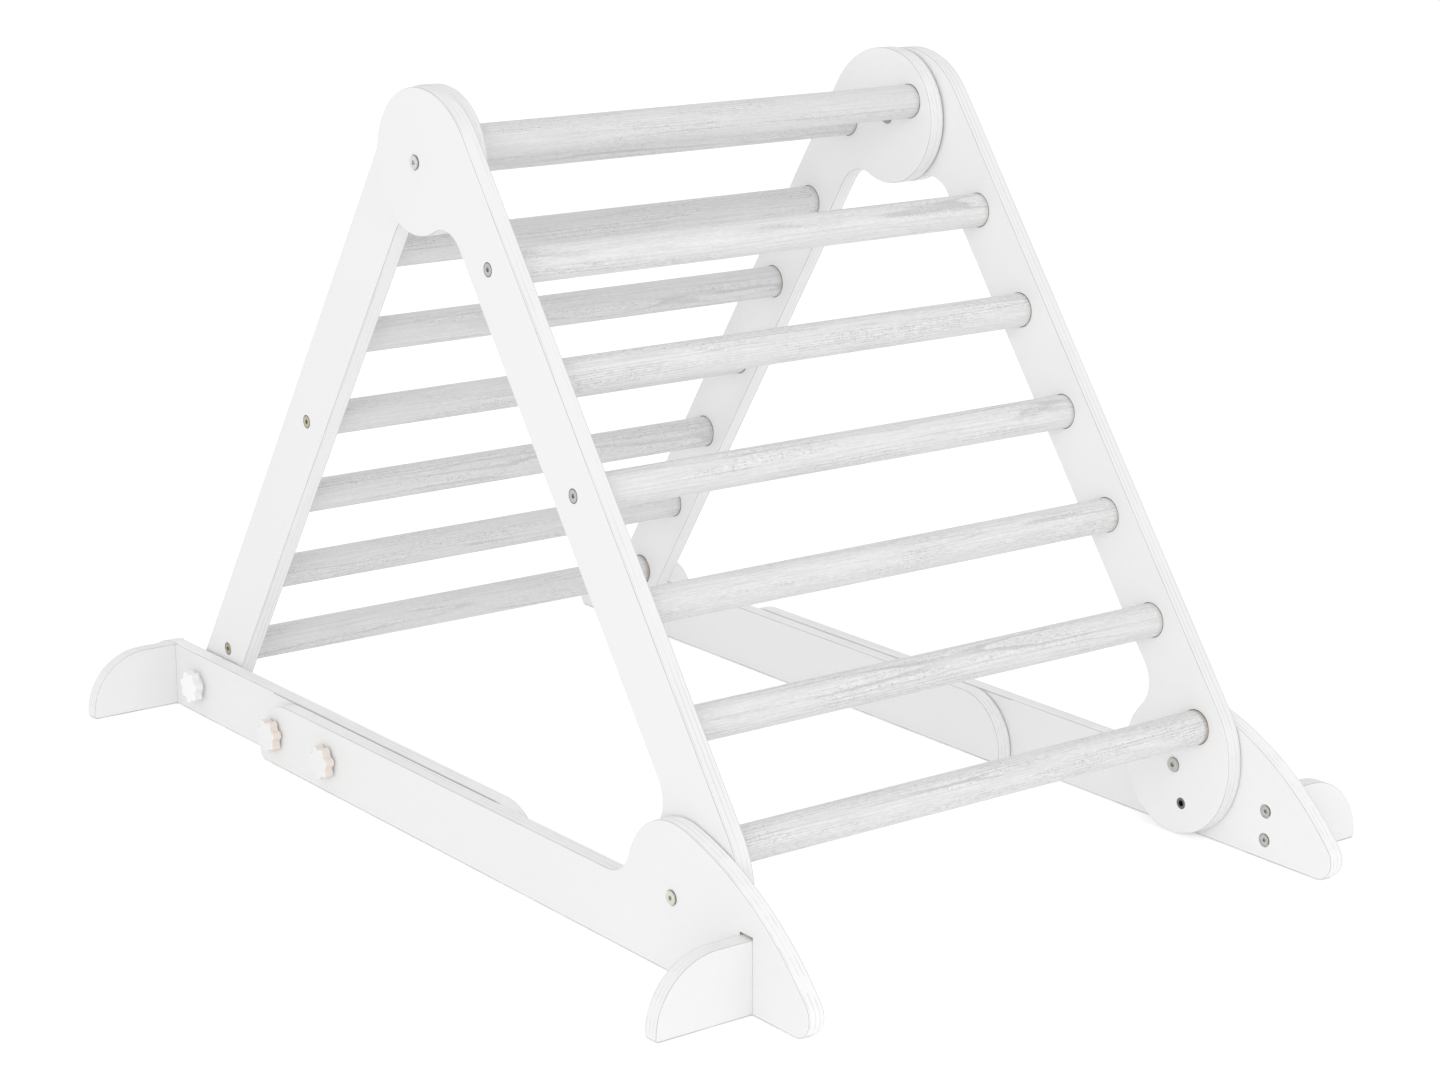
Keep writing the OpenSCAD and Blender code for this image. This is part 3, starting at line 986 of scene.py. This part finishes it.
@dataclass
class Ladder:
    """A pair of rails with the rungs between them."""

    bench: Bench
    body: str
    rail: str
    rung: str
    rungs: int
    inner_face: float
    slope: float
    seed: float
    # the rungs' lacquer grey; lower for the rear ladder, whose rungs it darkens as painted shade
    rung_tone_and_shade: float
    rail_seed_step: float = 0.37
    rung_seed_step: float = 1.31
    thickness: float = 18 * MM
    rung_radius: float = 17.5 * MM
    end_radius: float = 0.8 * MM
    end_facet: float = 1.6 * MM
    # how strongly each rung is stained and darkened by painted shade towards its sockets; the last rung the
    # most
    stain_and_shade: float = 0.30
    last_stain_and_shade: float = 0.95
    bead_width: float = 0.45 * MM
    bead_lift: float = 0.55
    bead_flatness: float = 0.6
    # the beads wear bare wood darkened as painted shadow
    shadow: BareWood = BareWood("socket_shadow", (0.13, 0.085, 0.05), 0.30)

    def build(self) -> None:
        """Makes the rails, the rungs and the beads at the sockets, which show glue and painted shadow."""
        for side in Side:
            finish = LacqueredPlywood(
                f"lacquered_plywood_{self.rail}_{side.value}", Axis.X, self.inner_face, self.thickness,
                slope=self.slope, seed=self.seed + side.sign * self.rail_seed_step, white=side.white,
            )
            faces = (self.inner_face, self.inner_face + self.thickness)
            Plate(self.bench, f"{self.rail}_{side.value}", Axis.X, faces, finish).build()
        middles = [self._rung(number) for number in range(1, self.rungs + 1)]
        self._glue_and_shadow_beads(middles)

    def _rung(self, number: int) -> Pair:
        """Makes one rung.

        Args:
            number: Its number, counted from 1.

        Returns:
            Its middle as (y, z).
        """
        node = f"{self.rung}_{number}"
        low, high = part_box(node)
        middle = ((low.y + high.y) / 2, (low.z + high.z) / 2)
        piece = self.bench.copy_of(node, f"{node}_dowel")
        self.bench.round_edges(piece, self._on_end, self.end_radius)
        self.bench.smooth(piece)
        finish = LacqueredBeech(
            f"lacquered_beech_{self.rung}_{number}", middle, seed=self.seed + number * self.rung_seed_step,
            socket=self.inner_face, stain_and_shade=self.last_stain_and_shade if number == self.rungs else self.stain_and_shade,
            pale=self.rung_tone_and_shade,
        )
        self.bench.mount(piece, finish, "white_beech", node)
        return middle

    def _on_end(self, edge: Edge) -> bool:
        """Whether an edge is on the outer rim of a rung's end, where the facets are longest."""
        return on_rim(edge) and edge.calc_length() > self.end_facet

    def _glue_and_shadow_beads(self, middles: Sequence[Pair]) -> None:
        """Lays a thin bead around each rung where it enters its rail: glue, darkened as painted shadow of the
        socket.

        Args:
            middles: The middles of the rungs as (y, z).
        """
        radius = self.rung_radius + self.bead_width * self.bead_lift
        bpy.ops.object.select_all(action="DESELECT")
        bpy.ops.mesh.primitive_torus_add(
            major_radius=radius, minor_radius=self.bead_width, major_segments=72, minor_segments=8,
            location=(0, 0, 0), rotation=(0, math.pi / 2, 0),
        )
        first = bpy.context.object
        bpy.ops.object.transform_apply(location=True, rotation=True, scale=True)
        with self.bench.editing(first):
            bpy.ops.mesh.select_all(action="SELECT")
            bpy.ops.transform.resize(value=(self.bead_flatness, 1.0, 1.0))
        beads = []
        for y, z in middles:
            for side in Side:
                bead = first.copy()
                bead.data = first.data.copy()
                bpy.context.scene.collection.objects.link(bead)
                bead.data.transform(Matrix.Translation((side.sign * self.inner_face, y, z)))
                beads.append(bead)
        bpy.data.objects.remove(first)
        bpy.ops.object.select_all(action="DESELECT")
        for bead in beads:
            bead.select_set(True)
        bpy.context.view_layer.objects.active = beads[0]
        bpy.ops.object.join()
        piece = bpy.context.object
        piece.name = f"{self.rail}_socket_glue_and_shadow_beads"
        self.bench.smooth(piece)
        self.bench.mount(piece, self.shadow, "white_beech", body=self.body)


@dataclass(frozen=True)
class Beam:
    """One beam of a base, and how deep in its thickness the gap to the other beam lies."""

    part: str
    inner_face: float
    gap_depth: float
    seed: float


@dataclass
class Base:
    """The base of one side: two beams that lap, and the two side feet."""

    bench: Bench
    side: Side
    seed_step: float = 0.9
    thickness: float = 18 * MM
    # painted light: the base's edges are drawn whiter than those of the rails, to stand for the light on
    # their top rims
    edge_white: float = 0.93
    scuffed_below: float = 1.5 * MM
    beams: tuple[Beam, ...] = (Beam("front", 312.5 * MM, 0.0, 5.3), Beam("rear", 294 * MM, 18 * MM, 8.9))

    def build(self) -> None:
        """Makes the beams and the feet."""
        name = self.side.value
        lap = (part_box(f"base_rear_{name}")[0].y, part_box(f"base_front_{name}")[1].y)
        for beam in self.beams:
            foot, node, inner = f"{beam.part}_foot_{name}", f"base_{beam.part}_{name}", beam.inner_face
            low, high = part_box(foot)
            finish = LacqueredPlywood(
                f"lacquered_plywood_{node}", Axis.X, inner, self.thickness,
                seed=beam.seed + self.side.sign * self.seed_step, white=self.side.white,
                edge_white=self.edge_white, scuffed_below=self.scuffed_below,
                gap_depth=beam.gap_depth, gap_span=lap, gap_grey=self.side.gap_grey,
            )
            faces, groove = (inner, inner + self.thickness), (low.y, high.y)
            Plate(self.bench, node, Axis.X, faces, finish, groove).build()
            finish = LacqueredPlywood(
                f"lacquered_plywood_{foot}", Axis.Y, low.y, self.thickness,
                seed=beam.seed * 2 + self.side.sign, white=self.side.white, scuffed_below=self.scuffed_below,
            )
            Plate(self.bench, foot, Axis.Y, (low.y, high.y), finish).build()


@dataclass
class Fasteners:
    """Screws, pivot bolts and sleeves, inserts and washers."""

    bench: Bench
    slimming: float = 0.88
    foot_slimming: float = 0.78
    rim_radius: float = 0.35 * MM
    rim_facet: float = 1.7 * MM
    smooth_below: float = 40.0
    zinc: Plated = Plated("zinc_plating", (0.56, 0.555, 0.53), 0.28)
    brassy: Plated = Plated("brassy_zinc_plating", (0.52, 0.48, 0.38), 0.28)
    silver: Plated = Plated("silver_plating", (0.74, 0.74, 0.74), 0.24)
    yellow: Plated = Plated("yellow_zinc_plating", (0.74, 0.72, 0.64), 0.30)
    dark: Plated = Plated("dark_plating", (0.20, 0.20, 0.21), 0.38)

    def build(self) -> None:
        """Makes the fasteners."""
        self._turned("front_rung_screws", self.zinc, "zinc_steel", self.slimming)
        self._turned("rear_rung_screws", self.brassy, "zinc_steel", self.slimming)
        for name in (side.value for side in Side):
            self._turned(f"foot_screws_{name}", self.zinc, "zinc_steel", self.foot_slimming)
            for end, plating in (("top", self.silver), ("bottom", self.yellow)):
                self._turned(f"{end}_pivot_bolt_{name}", plating, "yellow_zinc", self.slimming)
                self._turned(f"{end}_pivot_sleeve_{name}", self.zinc, "zinc_steel")
            for node in ("lap_stud_front", "lap_stud_rear", "ladder_stud"):
                self.bench.dress(f"{node}_{name}", self.zinc)
            self.bench.dress(f"lap_inserts_{name}", self.dark)
        self.bench.dress("ladder_inserts", self.dark)
        self._turned("hub_inserts", self.dark, "dark_steel")
        self._turned("top_washers", self.dark, "dark_steel")

    def _turned(self, node: str, finish: Finish, slot: str, slimming: float = 1.0) -> None:
        """A turned part with its sharp rims broken.

        Args:
            node: The node that it stands for.
            finish: Its finish.
            slot: The record's material slot.
            slimming: How wide it is made, as a share of its node's width.
        """
        piece = self.bench.copy_of(node, f"{node}_turned")
        self.bench.round_edges(piece, self._short_rim, self.rim_radius)
        if slimming < 1.0:
            self._slim(piece, slimming)
        self.bench.smooth(piece, self.smooth_below)
        self.bench.mount(piece, finish, slot, node)

    def _slim(self, piece: Piece, slimming: float) -> None:
        """Draws each fastener in towards its own axis, which leaves a dark ring around its head.

        Args:
            piece: One or more fasteners along X.
            slimming: The share of their width that stays.
        """
        with self.bench.editing(piece) as mesh:
            for group in islands(mesh.verts, lambda vert: [e.other_vert(vert) for e in vert.link_edges]):
                ys, zs = [v.co.y for v in group], [v.co.z for v in group]
                axis = Vector(((min(ys) + max(ys)) / 2, (min(zs) + max(zs)) / 2))
                for vert in group:
                    vert.co.yz = axis + (vert.co.yz - axis) * slimming
            bmesh.update_edit_mesh(piece.data)

    def _short_rim(self, edge: Edge) -> bool:
        """Whether an edge is on a round rim, where the facets are short."""
        return on_rim(edge) and edge.calc_length() < self.rim_facet


@dataclass
class StarKnobs:
    """The star knobs that clamp the lap and the rear ladder."""

    bench: Bench
    top_radius: float = 1.5 * MM
    top_segments: int = 4
    slimming: float = 0.94
    smooth_below: float = 55.0
    tolerance: float = 0.02 * MM
    # each knob's face colour, then the darker colour of its sides, which is painted shade
    cream: MouldedPlastic = MouldedPlastic("cream_knob_plastic", (0.86, 0.855, 0.86), (0.82, 0.75, 0.69))
    white: MouldedPlastic = MouldedPlastic("white_knob_plastic", (0.97, 0.97, 0.97), (0.87, 0.87, 0.87))

    def build(self) -> None:
        """Makes the knobs."""
        for side in Side:
            for node in ("lap_knob_front", "lap_knob_rear"):
                self._knob(f"{node}_{side.value}", self.cream, "cream_plastic")
            self._knob(f"ladder_knob_{side.value}", self.white, "white_plastic")

    def _knob(self, node: str, finish: Finish, slot: str) -> None:
        """One knob with its lobes rounded over.

        Args:
            node: The node that it stands for.
            finish: Its plastic.
            slot: The record's material slot.
        """
        low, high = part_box(node)
        outer = max(abs(low.x), abs(high.x))
        piece = self.bench.copy_of(node, f"{node}_star")
        self.bench.round_edges(piece, lambda edge: self._at(edge, outer), self.top_radius, self.top_segments)
        with self.bench.editing(piece):
            bpy.ops.mesh.select_all(action="SELECT")
            share = (1.0, self.slimming, self.slimming)
            bpy.ops.transform.resize(value=share, center_override=(low + high) / 2)
        self.bench.smooth(piece, self.smooth_below)
        self.bench.mount(piece, finish, slot, node)

    def _at(self, edge: Edge, outer: float) -> bool:
        """Whether an edge is on the outline of the knob's face, which is outer from the middle."""
        return on_rim(edge) and all(abs(abs(v.co.x) - outer) < self.tolerance for v in edge.verts)


# ---------- studio ----------


@dataclass(frozen=True)
class Softbox:
    """A square lamp that faces the triangle: its place, width, power in watts, and what it is aimed at."""

    name: str
    place: Triple
    size: float
    power: float
    aim: Triple = (0.0, 0.0, 0.35)

    def hang(self) -> None:
        """Hangs it in the scene."""
        lamp = bpy.data.lights.new(self.name, "AREA")
        lamp.shape, lamp.size, lamp.energy = "SQUARE", self.size, self.power
        holder = bpy.data.objects.new(self.name, lamp)
        bpy.context.scene.collection.objects.link(holder)
        holder.location = self.place
        towards = Vector(self.aim) - Vector(self.place)
        holder.rotation_euler = towards.to_track_quat("-Z", "Y").to_euler()


@dataclass
class Studio:
    """Floor, light and camera.

    The camera, and what mirrors for it, sees the floor in seen_tones with seen_glow, and a white sky. All
    other rays meet the sky's own strength, and floor_tone with floor_glow, which lifts the undersides.
    """

    eye: Triple = (-1.927776, -2.636202, 1.121255)
    right: Triple = (0.80103, -0.59862, 0.00168)
    up: Triple = (0.15115, 0.20497, 0.96703)
    lens: float = 80.966
    film_width: float = 36.0
    sky: float = 0.84
    floor_size: float = 60.0
    floor_drop: float = 0.2 * MM
    floor_tone: float = 0.85
    floor_glow: float = 0.20
    seen_tones: Pair = (0.93, 0.95)
    seen_glow: float = 0.30
    lamps: tuple[Softbox, ...] = (
        Softbox("camera_softbox", (-4.5, -3.9, 2.1), 3.8, 80.0),
        Softbox("front_softbox", (0.8, -4.8, 1.0), 3.0, 16.0),
    )

    def build(self) -> None:
        """Sets up the studio."""
        self._floor()
        self._sky()
        for lamp in self.lamps:
            lamp.hang()
        self._camera()
        bpy.context.scene.view_settings.view_transform = "Standard"

    @staticmethod
    def _seen(nodes: Nodes, *kinds: str) -> Value:
        """Is 1 for camera rays and the other kinds of rays that are named, else 0."""
        path = nodes.add("ShaderNodeLightPath")
        seen = Value(nodes, path.outputs["Is Camera Ray"])
        for kind in kinds:
            seen = seen.at_least(Value(nodes, path.outputs[kind]))
        return seen

    @staticmethod
    def _glowing(nodes: Nodes, colour: Any, glow: float) -> Socket:
        """A matt surface that glows a little."""
        matt = nodes.add("ShaderNodeBsdfDiffuse", {"Color": colour})
        light = nodes.add("ShaderNodeEmission", {"Color": grey(1.0), "Strength": glow})
        return nodes.add("ShaderNodeAddShader", {0: matt.outputs[0], 1: light.outputs[0]}).outputs[0]

    def _floor(self) -> None:
        """Lays the floor, which the camera sees as white where no shadow falls."""
        bpy.ops.object.select_all(action="DESELECT")
        bpy.ops.mesh.primitive_plane_add(size=self.floor_size, location=(0, 0, -self.floor_drop))
        floor = bpy.context.object
        floor.name = "studio_floor"
        bpy.ops.object.transform_apply(location=True)
        material = bpy.data.materials.new("studio_floor")
        material.use_nodes = True
        nodes = Nodes(material.node_tree)
        seen = self._seen(nodes, "Is Glossy Ray")
        unseen = self._glowing(nodes, grey(self.floor_tone), self.floor_glow)
        dark, pale = (grey(tone) for tone in self.seen_tones)
        cloudy = nodes.blend(nodes.noise(nodes.mapped(2.0)), dark, pale)
        shown = self._glowing(nodes, cloudy, self.seen_glow)
        mixed = nodes.add("ShaderNodeMixShader", {0: seen, 1: unseen, 2: shown})
        nodes.add("ShaderNodeOutputMaterial", {0: mixed.outputs[0]})
        floor.data.materials.append(material)

    def _sky(self) -> None:
        """Lights from all round, with a white that camera and gloss see."""
        world = bpy.data.worlds.new("studio_sky")
        bpy.context.scene.world = world
        world.use_nodes = True
        nodes = Nodes(world.node_tree)
        strength = self._seen(nodes, "Is Glossy Ray", "Is Transmission Ray").spread(self.sky, 1.0)
        shine = nodes.add("ShaderNodeBackground", {"Color": grey(1.0), "Strength": strength})
        nodes.add("ShaderNodeOutputWorld", {0: shine.outputs[0]})

    def _camera(self) -> None:
        """Sets the camera at the angle of the photograph."""
        data = bpy.data.cameras.new("photo_camera")
        data.sensor_fit, data.sensor_width, data.lens = "HORIZONTAL", self.film_width, self.lens
        data.clip_start, data.clip_end = 0.05, 100.0
        camera = bpy.data.objects.new("photo_camera", data)
        bpy.context.scene.collection.objects.link(camera)
        right, up = Vector(self.right), Vector(self.up)
        turn = Matrix((right, up, right.cross(up).normalized())).transposed().to_4x4()
        camera.matrix_world = Matrix.Translation(self.eye) @ turn
        bpy.context.scene.camera = camera


# ---------- the whole ----------


def main() -> None:
    """Builds the dressed triangle and its studio."""
    logging.basicConfig(level=logging.INFO, format="%(name)s: %(message)s")
    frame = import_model()
    bench = Bench(frame)
    Ladder(
        bench, "front_ladder", "front_rail", "front_rung", rungs=6, inner_face=294 * MM,
        slope=math.radians(-54), seed=1.0, rung_tone_and_shade=0.835,
    ).build()
    # the rear ladder's rungs are drawn darker than the front's: painted shade for the rungs that stand behind
    # and below
    Ladder(
        bench, "rear_ladder", "rear_rail", "rear_rung", rungs=8, inner_face=274 * MM,
        slope=math.radians(56.66), seed=21.0, rung_tone_and_shade=0.77,
    ).build()
    for side in Side:
        Base(bench, side).build()
    Fasteners(bench).build()
    StarKnobs(bench).build()
    Studio().build()


if __name__ == "__main__":
    main()
